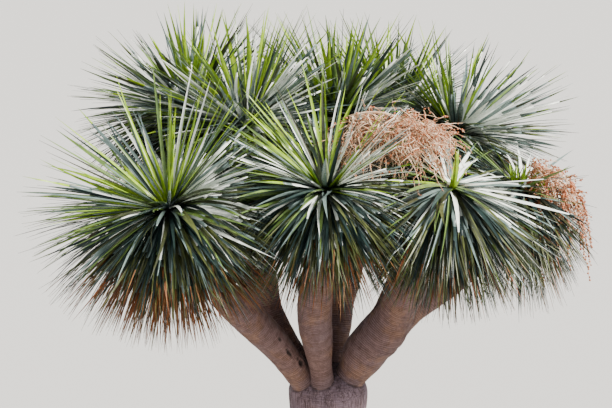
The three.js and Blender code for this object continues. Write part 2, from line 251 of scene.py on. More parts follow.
def barkMaterial(name, ringShade, crackShade, skyLitLilac, ochre):
    # grey and tan drift into each other, the tan partly a random tone and partly painted warm bounce light
    # on the lower sides, under a lilac tint of painted sky light and patches of ochre; each ring has its
    # own random tone and a dark lower edge, upright cracks run over them, scars are nearly black, and the
    # creases where boughs meet the trunk are darkened as painted shade
    material, tree, surface = newMaterial(name)
    place = addNode(tree, "TexCoord")["Object"]
    upright = addNode(tree, "Mapping", {"Vector": place, "Scale": (1, 1, barkFinish["streakRun"])})[0]
    patch, mottle, fleck = (noiseOutput(place, key) for key in ("patch", "mottle", "fleck"))
    broad = remap(noiseOutput(place, "broad"), 0.36, 0.64)
    # the warm tone read here is partly random and partly painted warm bounce light on the lower sides
    drift = multiply(maths("ADD", broad, attributeOutput(tree, "warmToneAndBounce")), 0.5)
    phase = attributeOutput(tree, "ringPhase")
    band = addNode(tree, "TexWhiteNoise", {"W": maths("FLOOR", phase)}, noise_dimensions="1D")
    shade = remap(band["Value"], 0.0, 1.0, 0.0, barkFinish["bandShade"])
    groove = remap(fromMiddle(maths("FRACT", phase)), 0.27, 0.47)
    ring = multiply(groove, remap(noiseOutput(place, "fade"), 0.34, 0.56, 0.25, 1.0))
    crack = remap(fromMiddle(noiseOutput(upright, "streak")), 0.035, 0.0)
    base = mixColor(tree, drift, barkFinish["grey"], barkFinish["tan"])
    for share, layer in (
        (skyLitLilac, "skyLitLilac"),
        (remap(patch, 0.47, 0.66, 0.0, ochre), "ochre"),
        (remap(mottle, 0.38, 0.74, 0.0, barkFinish["mottleShade"]), "dark"),
        (remap(fleck, 0.55, 0.75, 0.0, barkFinish["fleckShade"]), "fleck"),
        (multiply(shade, ringShade), "ring"),
        (multiply(ring, ringShade), "ring"),
        (multiply(crack, crackShade), "dark"),
        # scars, and the painted shade in the creases where boughs meet the trunk
        (attributeOutput(tree, "scarAndCreaseShade"), "scarAndCreaseShade"),
    ):
        base = mixColor(tree, share, base, barkFinish[layer])
    height = maths("SUBTRACT", multiply(mottle, 0.6), multiply(ring, 0.9 * ringShade + 0.1))
    height = maths("SUBTRACT", height, multiply(crack, crackShade))
    height = maths("ADD", height, multiply(fleck, 0.25))
    setInputs(surface, {
        "Base Color": base,
        "Roughness": remap(mottle, 0.3, 0.7, 0.74, 0.95),
        "Specular IOR Level": 0.3,
        "Normal": raised(height, barkFinish["bump"], barkFinish["bumpDepth"]),
    })
    return material


def leafMaterial(name, color, second, rough):
    # two close colours in slow patches under a waxy coat
    material, tree, surface = newMaterial(name)
    place = addNode(tree, "TexCoord")["Object"]
    patch = noiseOutput(place, "leafPatch")
    setInputs(surface, {
        "Base Color": mixColor(tree, remap(patch, 0.35, 0.65), (*color, 1), (*second, 1)),
        "Roughness": remap(patch, 0.3, 0.7, rough - 0.06, rough + 0.08),
        "Specular IOR Level": 0.5,
        "Normal": raised(noiseOutput(place, "leafGrain"), 0.12, 0.001),
    })
    return material


# the lilac share (the next to last number) is painted sky light, larger on the trunk, which stands in the
# crown's shade
ringedBark = barkMaterial("ringedBark", 0.70, 0.16, 0.18, 0.42)
trunkBark = barkMaterial("trunkBark", 0.26, 0.80, 0.66, 0.14)
# Two colours and the roughness of each kind of leaf.
leafLooks = {
    # lime of young leaves, made brighter and more saturated as painted backlight glowing through the
    # upright ones
    "youngAndBacklit": ((0.29, 0.43, 0.008), (0.17, 0.31, 0.010), 0.42),
    "fresh": ((0.130, 0.205, 0.042), (0.080, 0.140, 0.038), 0.32),
    # slate: a blue-grey that stands for painted sky light on shaded leaf sides, and for a dimmer painted
    # glare
    "skySheenSlate": ((0.150, 0.205, 0.195), (0.095, 0.140, 0.130), 0.30),
    "deep": ((0.017, 0.035, 0.033), (0.012, 0.025, 0.025), 0.36),
    "dusk": ((0.033, 0.038, 0.012), (0.021, 0.026, 0.010), 0.42),
    "olive": ((0.082, 0.096, 0.022), (0.054, 0.068, 0.020), 0.5),
    "rust": ((0.230, 0.066, 0.010), (0.135, 0.038, 0.009), 0.62),
    "straw": ((0.235, 0.105, 0.028), (0.145, 0.062, 0.020), 0.68),
    # near-white painted glare, the high light thrown back by the waxy upper sides of the leaves
    "paintedGlare": ((0.90, 0.93, 0.87), (0.72, 0.78, 0.72), 0.30),
}
leafMaterials = {kind: leafMaterial(kind + "Leaf", *look) for kind, look in leafLooks.items()}
stemMaterial = leafMaterial("leafBases", (0.17, 0.20, 0.12), (0.11, 0.13, 0.075), 0.55)
twigMaterial = leafMaterial("fruitTwigs", (0.80, 0.60, 0.43), (0.62, 0.36, 0.21), 0.6)
berryMaterial = leafMaterial("dryBerries", (0.46, 0.16, 0.06), (0.28, 0.08, 0.03), 0.45)
print("materials made")


# Every rosette unless its own entry says otherwise: its leaves open from and sweep to so many
# degrees from the axis, crowd towards the old ones, are broader where upright, and some are
# bright (young colour and painted backlight), shine (painted glare) or die back.
usualRosette = {
    "reach": 0.57, "opens": 0, "sweep": 142, "leaves": 1500, "crowding": 0.43,
    "upright": 1.0, "young": 1.0, "sunlit": 1.0, "dying": 1.0,
}
rearGrowth = {"crowding": 0.58, "upright": 1.45, "young": 0.6}
flowered = {"young": 0.12, "dying": 0.2}
rosettes = {
    "left_front": {"apex": (-0.687, -0.500, 2.266), "reach": 0.61, "leaves": 1950, "sunlit": 1.3},
    "centre_front": {"apex": (-0.019, -0.450, 2.335), "sweep": 124, "sunlit": 1.7, "dying": 0.5},
    "right_front": {
        "apex": (0.513, -0.400, 2.331), "reach": 0.59, "opens": 68, "sweep": 138, "leaves": 1400,
        **flowered,
    },
    "mid_left": {
        "apex": (-0.379, 0.120, 2.478), "reach": 0.60, "sweep": 125, "sunlit": 3.0, **rearGrowth,
    },
    "left_back": {
        "apex": (-0.643, 0.380, 2.500), "reach": 0.56, "leaves": 1600, "sunlit": 2.6, **rearGrowth,
    },
    "centre_back": {
        "apex": (0.040, 0.330, 2.470), "reach": 0.58, "sweep": 120, "sunlit": 1.4, **rearGrowth,
    },
    "mid_right": {
        "apex": (0.300, 0.560, 2.430), "sweep": 138, "sunlit": 1.4,
        "crowding": 0.56, "upright": 1.4, "young": 0.6,
    },
    "right_back": {
        "apex": (0.600, 0.320, 2.400), "reach": 0.58, "sweep": 138, "sunlit": 2.6,
        "crowding": 0.50, "upright": 1.3, "young": 0.7,
    },
    "right_outer": {"apex": (0.866, -0.030, 2.220), "opens": 56, "leaves": 1050, **flowered},
    "back": {"apex": (-0.210, 0.640, 2.360), "leaves": 1300},
}
panicles = {
    "fruit_panicle_centre": {
        "rosette": "right_front", "centre": (0.320, -0.160, 2.530), "reach": 0.47,
        "arch": (0.37, -0.32, 2.70), "end": (0.08, -0.29, 2.60), "bareStalk": 0.22,
        "branches": 52, "twigs": 11, "droop": 0.0, "hang": 0.75, "berries": 5,
        "branchReach": (0.10, 0.23), "twigReach": (0.07, 0.18), "strings": 0,
    },
    "fruit_panicle_right": {
        "rosette": "right_outer", "centre": (1.040, -0.060, 2.120), "reach": 0.34,
        "arch": (1.00, -0.08, 2.40), "end": (1.05, -0.10, 2.20), "bareStalk": 0.4,
        "branches": 24, "twigs": 7, "droop": -0.1, "hang": 0.9, "berries": 7,
        "branchReach": (0.06, 0.12), "twigReach": (0.05, 0.11), "strings": 44, "stringReach": (0.14, 0.30),
    },
}
head = {
    "length": 0.170,
    "radii": [(0.0, 0.050), (0.45, 0.060), (0.8, 0.048), (1.0, 0.022)],
    "spear": [(1.3, 0.015), (1.75, 0.002)],
    "leavesFrom": 0.03,
    "leavesRun": 0.76,
    "outwardLean": 0.42,
    "crownRadius": 0.85,
    "rows": 60,
    "columns": 40,
    "scalesAround": 5,
    "scalesAlong": 26,
}
for name, own in rosettes.items():
    # its axis is upright at the middle of the crown and leans out towards the rim
    apex = np.array(own["apex"])
    lean = head["outwardLean"] / head["crownRadius"]
    axis = unit(apex * [lean, lean, 0] + upward)
    foot = apex - axis * head["length"]
    rosettes[name] = {**usualRosette, **own, "apex": apex, "axis": axis, "foot": foot}
trunk = {
    "groundRadius": 0.262,
    "shaftRadius": 0.166,
    "taper": 0.024,
    "collarRadius": 0.184,
    "collarHeight": 1.236,
    "domeHeight": 0.122,
    "flareReach": 0.150,
    "collarReach": 0.210,
    "joinFrom": 1.12,
    "buttresses": 5,
    "buttressDepth": 0.09,
    "lean": (-0.016, 0.010),
    "step": 0.0042,
    "columns": 192,
    "ringPitch": 0.0095,
    "ringDepth": 0.0004,
    "crackDepth": 0.0016,
    "lumps": 0.0035,
}
limbs = {
    "bough_left_front": {
        "carrier": "trunk", "start": (-0.092, -0.052, 1.280), "heading": (-0.48, -0.3, 0.82),
        "bow": (0.018, 0, 0.024), "radii": (0.060, 0.076), "bellyAt": 0.5,
    },
    "bough_centre_front": {
        "carrier": "trunk", "start": (-0.028, -0.098, 1.285), "heading": (0, -0.2, 0.98),
        "bow": (-0.042, 0, 0), "radii": (0.050, 0.078), "bellyAt": 0.48,
    },
    "bough_right": {
        "carrier": "trunk", "start": (0.072, -0.032, 1.275), "heading": (0.5, -0.16, 0.84),
        "end": (0.246, -0.096, 1.570), "endHeading": (0.55, -0.15, 0.82),
        "radii": (0.066, 0.086, 0.084), "bellyAt": 0.7,
    },
    "bough_left_back": {
        "carrier": "trunk", "start": (-0.100, 0.062, 1.285), "heading": (-0.45, 0.22, 0.87),
        "bow": (-0.024, 0, 0), "end": (-0.322, 0.170, 1.730), "endHeading": (-0.3, 0.2, 0.92),
        "radii": (0.054, 0.070, 0.064), "bellyAt": 0.55,
    },
    "bough_centre_back": {
        "carrier": "trunk", "start": (0.010, 0.088, 1.290), "heading": (0.12, 0.3, 0.94),
        "end": (0.062, 0.226, 1.720), "endHeading": (0.02, 0.3, 0.95),
        "radii": (0.050, 0.072, 0.064), "bellyAt": 0.6,
    },
    "branch_right_front": {
        "carrier": "bough_right", "start": (0.262, -0.128, 1.600), "heading": (0.38, -0.3, 0.88),
        "radii": (0.080, 0.082), "bellyAt": 0.3,
    },
    "branch_right_outer": {
        "carrier": "bough_right", "start": (0.188, -0.076, 1.500), "heading": (0.62, -0.02, 0.78),
        "bow": (0.008, 0, 0.016), "radii": (0.070, 0.078),
    },
    "branch_right_back": {
        "carrier": "bough_right", "start": (0.262, -0.078, 1.600), "heading": (0.3, 0.48, 0.82),
        "radii": (0.062, 0.068),
    },
    "branch_mid_left": {
        "carrier": "bough_left_back", "start": (-0.326, 0.168, 1.740), "heading": (0.05, -0.12, 0.99),
        "radii": (0.058, 0.066),
    },
    "branch_left_back": {
        "carrier": "bough_left_back", "start": (-0.346, 0.196, 1.740), "heading": (-0.52, 0.28, 0.8),
        "radii": (0.058, 0.066),
    },
    "branch_centre_back": {
        "carrier": "bough_centre_back", "start": (0.058, 0.228, 1.735), "heading": (-0.04, 0.1, 0.99),
        "radii": (0.056, 0.064),
    },
    "branch_mid_right": {
        "carrier": "bough_centre_back", "start": (0.092, 0.244, 1.735), "heading": (0.38, 0.42, 0.82),
        "radii": (0.056, 0.064),
    },
    "branch_back": {
        "carrier": "bough_centre_back", "start": (0.062, 0.256, 1.735), "heading": (-0.42, 0.5, 0.76),
        "radii": (0.054, 0.062),
    },
}
for name, limb in limbs.items():
    # a limb without an end of its own carries the rosette of its name and tapers to its head
    if "end" not in limb:
        limb["rosette"] = rosettes[name.split("_", 1)[1]]
        limb["radii"] += (head["radii"][0][1],)
limbLook = {
    "bellyAt": 0.4,
    "handle": 0.36,
    "sunk": 0.055,
    "underRosette": 0.012,
    "step": 0.0029,
    "columns": 76,
    "ringPitch": 0.0100,
    "ringDepth": 0.0018,
    "lumps": 0.0042,
    "trunkFillet": 0.030,
    "forkFillet": 0.080,
}
# Old scars: where each lies, its half height and half width, how deep and how dark it is.
scars = {
    "bough_left_front": [
        ((-0.1815, -0.1988, 1.4999), 0.030, 0.0080, 0.007, 1.0),
        ((-0.2231, -0.2366, 1.5778), 0.013, 0.0075, 0.004, 0.85),
        ((-0.1256, -0.1479, 1.4328), 0.020, 0.0125, 0.008, 1.0),
        ((-0.1400, -0.1600, 1.4560), 0.010, 0.0080, 0.004, 0.70),
        ((-0.3067, -0.3073, 1.7195), 0.008, 0.0070, 0.003, 0.45),
    ],
    "bough_right": [
        ((0.1556, -0.1499, 1.5032), 0.007, 0.0060, 0.003, 0.85),
        ((0.1740, -0.1618, 1.5046), 0.007, 0.0060, 0.003, 0.85),
    ],
    "trunk": [
        ((0.0473, -0.1386, 1.3057), 0.006, 0.006, 0.003, 0.8),
        ((-0.0122, -0.1704, 1.2747), 0.004, 0.004, 0.002, 0.5),
    ],
}


def limbLine(limb):
    # one bend from the heading to the direction at the tip, pushed aside by the bow times
    # 16 t^2 (1-t)^2; run back into its carrier and on past the tip, by its radius at a fork
    start = np.array(limb["start"])
    heading = unit(limb["heading"])
    if "rosette" in limb:
        end, arrival = limb["rosette"]["foot"], limb["rosette"]["axis"]
        onward = limbLook["underRosette"]
    else:
        end, arrival = np.array(limb["end"]), unit(limb["endHeading"])
        onward = limb["radii"][2] * 0.999
    handle = np.linalg.norm(end - start) * limbLook["handle"]
    t = np.linspace(0, 1, 500)[:, None]
    line = (
        start * (1 - t) ** 3
        + (start + heading * handle) * 3 * t * (1 - t) ** 2
        + (end - arrival * handle) * 3 * t ** 2 * (1 - t)
        + end * t ** 3
        + np.array(limb.get("bow", (0, 0, 0))) * 16 * (t * (1 - t)) ** 2
    )
    line = np.concatenate([[start - heading * limbLook["sunk"]], line, [end + arrival * onward]])
    travelled = np.concatenate([[0], np.cumsum(np.linalg.norm(np.diff(line, axis=0), axis=1))])
    span = travelled[-2] - travelled[1]
    return line, travelled, (travelled - travelled[1]) / span, span


def limbRadius(limb, share, span):
    # pinched foot, swollen belly, slimmer tip; past it a quarter circle at a fork, or a narrower
    # end under a rosette
    foot, belly, tip = limb["radii"]
    bellyAt = limb.get("bellyAt", limbLook["bellyAt"])
    rising = foot + (belly - foot) * smoothStep(share / bellyAt)
    falling = belly + (tip - belly) * smoothStep((share - bellyAt) / (1 - bellyAt))
    radius = np.where(share < bellyAt, rising, falling)
    beyond = np.clip((share - 1) * span, 0, None) / tip
    if "rosette" in limb:
        return radius * (1 - 0.6 * np.clip(beyond * tip / limbLook["underRosette"], 0, 1))
    return radius * np.sqrt(np.clip(1 - beyond ** 2, 0, 1))


def gridNormals(rings):
    # across one way times across the other, on rings that close on themselves
    along = np.gradient(rings, axis=0)
    around = np.roll(rings, -1, axis=1) - np.roll(rings, 1, axis=1)
    normal = np.cross(around, along)
    return normal / np.maximum(np.linalg.norm(normal, axis=-1, keepdims=True), 1e-12)


def trunkRadius(height):
    # shaft, root flare that dies away upwards, collar
    shaft = trunk["shaftRadius"] + trunk["taper"] * (1 - height / trunk["collarHeight"])
    foot = trunk["groundRadius"] - trunk["shaftRadius"] - trunk["taper"]
    flare = foot * np.exp(-height / trunk["flareReach"])
    rise = smoothStep((height - trunk["collarHeight"] + trunk["collarReach"]) / trunk["collarReach"])
    return shaft + flare + (trunk["collarRadius"] - trunk["shaftRadius"]) * rise


def trunkRings():
    # turned from its radius, fluted at the root, leaned, and closed by a quarter ellipse
    heights = np.arange(0, trunk["collarHeight"], trunk["step"])
    angle = np.linspace(0, math.pi / 2, 62)[:-1]
    height = np.concatenate([heights, trunk["collarHeight"] + trunk["domeHeight"] * np.sin(angle)])
    radius = np.concatenate([trunkRadius(heights), trunk["collarRadius"] * np.cos(angle)])
    turn = wholeTurn(trunk["columns"])
    flute = np.exp(-height / trunk["flareReach"])[:, None] * np.cos(trunk["buttresses"] * turn)
    wide = radius[:, None] * (1 + trunk["buttressDepth"] * flute)
    lean = 1 - smoothStep(height / trunk["collarHeight"])
    x = wide * np.cos(turn) + (trunk["lean"][0] * lean)[:, None]
    y = wide * np.sin(turn) + (trunk["lean"][1] * lean)[:, None]
    return np.stack([x, y, np.broadcast_to(height[:, None], x.shape)], -1), height


def limbRings(limb):
    # circles of limbRadius square to the centre line, turned from one fixed side direction
    line, travelled, share, span = limbLine(limb)
    count = int(travelled[-1] / limbLook["step"])
    way = np.linspace(0, travelled[-1], count)
    centre = np.stack([np.interp(way, travelled, line[:, k]) for k in range(3)], -1)
    tangent = unit(np.gradient(centre, axis=0))
    radius = limbRadius(limb, np.interp(way, travelled, share), span)
    side = unit(np.cross(tangent.mean(0), [0.31, -0.95, 0.05]))
    across = unit(side - tangent * (tangent @ side)[:, None])
    over = np.cross(tangent, across)
    turn = wholeTurn(limbLook["columns"])[None, :, None]
    spoke = turned(across[:, None], over[:, None], turn)
    return centre[:, None] + spoke * radius[:, None, None], way, centre, radius


def outOfLimb(points, line, places):
    # how far each point lies outside a limb's skin, by the places along its middle
    centre, radius = line
    picks = np.linspace(0, len(centre) - 1, places).astype(int)
    away = np.linalg.norm(points[..., None, :] - centre[picks], axis=-1)
    return (away - radius[picks]).min(axis=-1)


def limbGap(points, others):
    # the way from each point to the nearest of the other limbs' skins
    nearest = np.full(points.shape[:-1], 1.0)
    for line in others:
        nearest = np.minimum(nearest, np.abs(outOfLimb(points, line, 70)))
    return nearest


def collarGap(points):
    # the way to the trunk's collar and dome: (q - 1) q / slope, where q is 1 on the dome
    wide, tall = trunk["collarRadius"], trunk["domeHeight"]
    level = np.clip(points[..., 2] - trunk["collarHeight"], 0, None)
    out = np.hypot(points[..., 0], points[..., 1])
    q = np.sqrt((out / wide) ** 2 + (level / tall) ** 2)
    slope = np.sqrt((out / wide ** 2) ** 2 + (level / tall ** 2) ** 2)
    return np.abs((q - 1) * q / np.maximum(slope, 1e-6))


def fillet(rings, gap, width):
    # a smooth join: with h = 1 - gap / width, the skin moves out by width / 4 * h^2
    return rings + gridNormals(rings) * (width / 4 * np.clip(1 - gap / width, 0, 1) ** 2)[..., None]


# Strength, size and seed of each noise in the bark's relief.
barkNoises = {
    "wander": (0.75, 0.12, 3),
    "waver": (0.30, 0.035, 5),
    "fade": (0.4, 0.05, 9),
    "lumps": (1, 0.13, 11),
    "dents": (0.0014, 0.034, 13),
    "grit": (0.0005, 0.009, 17),
    "crease": (0.006, 0.015, 19),
    "scar": (0.25, 0.008, 23),
    "warmToneAndBounce": (0.55, 0.16, 29),
}
# the crease where a bough meets the trunk: its width and depth, and how far it is darkened towards the
# scar colour as painted shade
crease = {"width": 0.012, "depth": 0.004, "dark": 0.6}


def barkRelief(rings, normals, way, look, marks, gap):
    # lumps, wandering rings and scars; returns the skin and what its finish reads
    noise = {
        name: strength * latticeNoise(rings, size, seed)
        for name, (strength, size, seed) in barkNoises.items()
    }
    phase = way[:, None] / look["ringPitch"] + (noise["wander"] + noise["waver"])
    edge = np.abs(phase - np.floor(phase) - 0.5) * 2
    relief = -look["ringDepth"] * smoothStep((edge - 0.35) / 0.65) * (0.6 + noise["fade"])
    relief += look["lumps"] * noise["lumps"]
    relief += noise["dents"] + noise["grit"]
    sunk = smoothStep(1 - (gap + noise["crease"]) / crease["width"])
    relief -= crease["depth"] * sunk
    # the crease of the join is darkened as painted shade
    scarAndCreaseShade = crease["dark"] * sunk
    for place, tall, wide, deep, dark in marks:
        offset = rings - place
        along = unit(np.gradient(rings.mean(axis=1), axis=0))
        rise = np.einsum("ijk,ik->ij", offset, along)
        spread = np.linalg.norm(offset - along[:, None] * rise[..., None], axis=-1)
        q = np.sqrt((rise / tall) ** 2 + (spread / wide) ** 2)
        q += noise["scar"]
        relief += -deep * smoothStep(1.25 - q) + deep * 0.35 * np.exp(-((q - 1.6) / 0.4) ** 2)
        scarAndCreaseShade = np.maximum(scarAndCreaseShade, dark * smoothStep((1.3 - q) * 1.6))
    # warmer on the sides that face down: painted warm bounce light from below, with a random tone over it
    warmToneAndBounce = 0.5 - 0.6 * normals[..., 2] + noise["warmToneAndBounce"]
    values = {"ringPhase": phase, "warmToneAndBounce": np.clip(warmToneAndBounce, 0, 1), "scarAndCreaseShade": scarAndCreaseShade}
    return rings + normals * relief[..., None], values


def addBark(name, skin, material, values):
    # the tube's two end points take the mean values of its first and last ring
    ends = {
        key: np.concatenate([numbers.ravel(), numbers[[0, -1]].mean(axis=1)])
        for key, numbers in values.items()
    }
    addPiece(name + "_bark", closedTube(skin), material, [name], ends)


def dressBark():
    # all limbs are known before any is joined, as each skin swells towards the others
    shapes = {name: limbRings(limb) for name, limb in limbs.items()}
    lines = {name: shape[2:] for name, shape in shapes.items()}
    skin, height = trunkRings()
    gap = np.full(skin.shape[:-1], 1.0)
    upper = height > trunk["joinFrom"]
    feet = [lines[name] for name, limb in limbs.items() if limb["carrier"] == "trunk"]
    gap[upper] = limbGap(skin[upper], feet)
    skin = fillet(skin, gap, limbLook["trunkFillet"])
    normals = gridNormals(skin)
    crack = np.abs(latticeNoise(skin * [1, 1, 0.07], 0.016, 31))
    skin, values = barkRelief(skin, normals, height, trunk, scars["trunk"], gap)
    skin -= normals * (trunk["crackDepth"] * smoothStep((0.22 - crack) / 0.22))[..., None]
    skin[0, :, 2] = 0
    addBark("trunk", skin, trunkBark, values)
    for name, limb in limbs.items():
        rings, way = shapes[name][:2]
        near = {name, limb["carrier"]} - {"trunk"}
        kin = [
            lines[other] for other, its in limbs.items()
            if other != name and near & {other, its["carrier"]}
        ]
        rings = fillet(rings, limbGap(rings, kin), limbLook["forkFillet"])
        gap = np.full(rings.shape[:-1], 1.0)
        if limb["carrier"] == "trunk":
            gap = collarGap(rings)
            rings = fillet(rings, gap, limbLook["trunkFillet"])
        skin, values = barkRelief(rings, gridNormals(rings), way, limbLook, scars.get(name, []), gap)
        addBark(name, skin, ringedBark, values)
    return lines


limbLines = dressBark()
print("bark made: trunk and", len(limbs), "limbs")


leaf = {
    "widths": (0.0132, 0.0205, 0.0130),
    "widthSpread": 0.20,
    "broader": 0.25,
    "taper": (3.4, 2.0),
    "rootWidth": 1.3,
    "channel": 0.0034,
    "thickness": 0.0028,
    "kneeAt": 0.42,
    "sag": 0.66,
    "sagSpread": 0.4,
    "youngest": 0.86,
    "oldest": 0.83,
    "lengthSpread": 0.24,
    "turnSpread": 0.8,
    "tiltSpread": 0.08,
    "twist": 0.6,
    "sideways": 0.034,
    "swingBack": 2.2,
    "settling": 7,
    "rootRing": (0.010, 0.020, 0.008),
    "shine": 0.36,
    "shineAt": (0.10, 0.22, 0.32, 0.42, 0.55, 0.70),
    "shineBy": (0.03, 0.35, 0.95, 1.00, 0.40, 0.12),
    "glare": 1.1,
    "litTips": 0.4,
    "greyBases": 0.25,
    "greyShine": 0.3,
    "stations": 7,
    "shortest": 0.4,
    "clearance": 0.006,
    "overlap": 0.10,
    "amongFruit": 0.28,
    "pastCrown": 0.03,
}
# Share of each colour from leaves that stand upright to leaves that hang.
leafShares = {
    # bright upright leaves: young colour and painted backlight
    "youngAndBacklit": (0.78, 0.58, 0.05, 0.00, 0.00),
    "fresh": (0.14, 0.20, 0.18, 0.04, 0.00),
    "skySheenSlate": (0.03, 0.09, 0.14, 0.10, 0.03),
    "deep": (0.02, 0.06, 0.30, 0.45, 0.36),
    "dusk": (0.03, 0.07, 0.28, 0.39, 0.52),
    "olive": (0.00, 0.00, 0.00, 0.02, 0.07),
    "rust": (0.00, 0.00, 0.00, 0.00, 0.01),
    "straw": (0.00, 0.00, 0.00, 0.00, 0.01),
}
shareAt = (0.0, 0.2, 0.4, 0.6, 1.0)
kindOf = {kind: number for number, kind in enumerate(leafLooks)}


def spaceOf(name):
    # planes that part a rosette from its neighbours, nearer to the one that reaches less, and
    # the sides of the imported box; leaves may pass them a little
    own = rosettes[name]
    others = [its for other, its in rosettes.items() if other != name] + list(panicles.values())
    places = np.array([its.get("apex", its.get("centre")) for its in others])
    share = own["reach"] / (own["reach"] + np.array([its["reach"] for its in others]))
    away = places - own["apex"]
    normals = unit(away)
    loose = np.array([leaf["overlap"] if "apex" in its else leaf["amongFruit"] for its in others])
    limits = normals @ own["apex"] + np.linalg.norm(away, axis=1) * share + loose
    ends = np.concatenate([cadHigh, -np.array(cadLow)]) + leaf["pastCrown"]
    return np.concatenate([normals, np.eye(3), -np.eye(3)]), np.concatenate([limits, ends])


def leafRibs(rosette, age, turn, size, chance):
    # root, knee and tip of each leaf: old leaves stand lower on the head and bend more; chance
    # holds each leaf's own tilt, bend to the side and sag
    axis = rosette["axis"]
    around = spokes(axis, turn[:, None])
    highest = math.cos(math.radians(rosette["opens"]))
    lowest = math.cos(math.radians(rosette["sweep"]))
    tilt = np.arccos(highest + (lowest - highest) * age) + leaf["tiltSpread"] * chance[0]
    heading = turned(axis, around, tilt[:, None])
    settled = smoothStep(age * leaf["settling"])
    depth = head["length"] * (head["leavesFrom"] * settled + head["leavesRun"] * age ** 3)
    spot = leaf["rootRing"][0] + leaf["rootRing"][1] * settled + leaf["rootRing"][2] * age
    root = rosette["apex"] - axis * depth[:, None] + around * spot[:, None]
    length = (rosette["reach"] * size)[:, None]
    edge = unit(np.cross(axis, around))
    bend = leaf["sideways"] * chance[1][:, None]
    knee = root + heading * length * leaf["kneeAt"] + edge * length * bend
    sag = leaf["sag"] * smoothStep(age * 1.4) * np.sin(tilt) * (1 + leaf["sagSpread"] * chance[2])
    drooping = unit(heading - upward * sag[:, None])
    tip = knee + drooping * length * (1 - leaf["kneeAt"]) - edge * length * bend * leaf["swingBack"]
    return root, knee, tip, edge


def meetsLimb(points):
    # true for each leaf with a point inside a limb or too near to its skin
    gaps = [outOfLimb(points, line, 60).min(axis=1) for line in limbLines.values()]
    return np.min(gaps, axis=0) < leaf["clearance"]


def leafSections(root, knee, tip, edge, width, taper, twist):
    # a blade along the bent line: margin, sunk middle, margin and keel at each station, its half
    # width w (r + (1-r) smooth(6t)) (1 - t^taper)
    t = np.linspace(0, 1, leaf["stations"])[None, :, None] ** 0.9
    curve = bentLine(root, knee, tip, t)
    tangent = unit(2 * (1 - t) * (knee - root)[:, None] + 2 * t * (tip - knee)[:, None])
    over = unit(np.cross(tangent, edge[:, None]))
    across = np.cross(over, tangent)
    roll = twist[:, None, None] * t
    margin = turned(across, over, roll)
    over = np.cross(tangent, margin)
    widen = leaf["rootWidth"] + (1 - leaf["rootWidth"]) * smoothStep(6 * t)
    half = width[:, None, None] / 2 * widen * np.clip(1 - t ** taper[:, None, None], 0.02, 1)
    lift = leaf["channel"] * (1 - t) + 0.0003
    thick = leaf["thickness"] * (1 - 0.8 * t)
    left = curve + margin * half + over * lift
    right = curve - margin * half + over * lift
    return np.stack([left, curve, right, curve - over * thick], 2)


def bladeShape(sections):
    # closed blades: four long strips from ring to ring and a flat end at either end
    count, stations = sections.shape[:2]
    base = (np.arange(count) * stations * 4)[:, None, None]
    strips = (tubeFaces(stations, 4)[None] + base).reshape(-1, 4)
    roots = np.array([3, 2, 1, 0]) + base[:, 0]
    tips = np.array([0, 1, 2, 3]) + base[:, 0] + (stations - 1) * 4
    return sections.reshape(-1, 3), np.concatenate([strips, roots, tips]), np.zeros((0, 3), dtype=int)


def pickKinds(lowered, chance, outward, young):
    # the first colour whose running share passes the leaf's chance; the greens go further down
    # on the open left side, and young scales the share of bright leaves, whose lime is young colour and
    # painted backlight
    lifted = lowered - 0.12 * outward
    shares = np.stack([np.interp(lifted, shareAt, row) for row in leafShares.values()], -1)
    shares[:, kindOf["youngAndBacklit"]] *= young
    shares = np.cumsum(shares / shares.sum(axis=1, keepdims=True), axis=1)
    return (chance[:, None] > shares).sum(axis=1).clip(0, len(leafShares) - 1)


